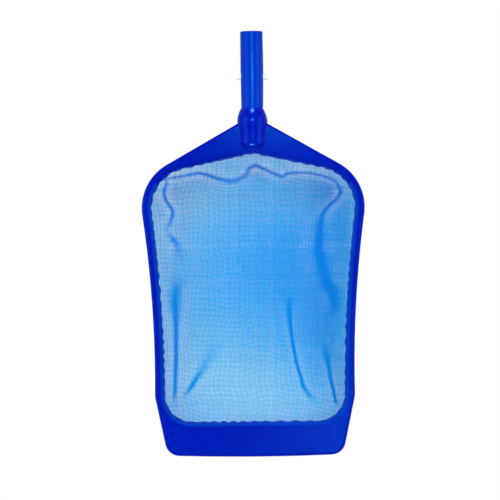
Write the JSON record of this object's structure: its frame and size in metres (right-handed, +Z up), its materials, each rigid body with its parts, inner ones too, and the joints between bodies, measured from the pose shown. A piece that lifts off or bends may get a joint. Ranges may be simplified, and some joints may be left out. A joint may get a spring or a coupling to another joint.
{
  "type": "leaf skimmer net",
  "caption": "Flat leaf skimmer head for a pool: moulded frame with a scooping lip, a shallow bag of fine net, and a tube with a sprung pin clip for a telescopic pole.",
  "frame": {"origin": "on the tube's axis at the top of its straight outer wall, where the pole comes on", "axes": "+Z up the pole, +X to the right seen from the front, +Y backwards towards the bag"},
  "size_m": [0.2766, 0.0568, 0.5272],
  "materials": {
    "frame_plastic": "royal blue polypropylene, glossy",
    "tube_plastic": "royal blue polypropylene, glossy, drawn tube",
    "screw_steel": "stainless steel, satin",
    "netting": "woven light blue nylon netting",
    "hem_fabric": "woven blue tape and cord",
    "clip_nylon": "natural white nylon"
  },
  "bodies": {
    "root": {"front_frame": "frame_plastic", "clamp_ring": "frame_plastic", "socket_tube": "tube_plastic", "hub_screw": "screw_steel", "net_bag": "netting", "hem_tape": "hem_fabric", "hem_cord": "hem_fabric", "clip_bend": "clip_nylon"},
    "right_arm": {"clip_arm_right": "clip_nylon"},
    "left_arm": {"clip_arm_left": "clip_nylon"}
  },
  "joints": [
    {"name": "right_pin_press", "type": "hinge", "parent": "root", "child": "right_arm", "pos_m": [0.0046, 0, -0.1], "axis": [0, -1, 0], "range_deg": [0, 6.7], "stiffness_Nm_per_rad": 3},
    {"name": "left_pin_press", "type": "hinge", "parent": "root", "child": "left_arm", "pos_m": [-0.0046, 0, -0.1], "axis": [0, 1, 0], "range_deg": [0, 6.7], "stiffness_Nm_per_rad": 3}
  ]
}
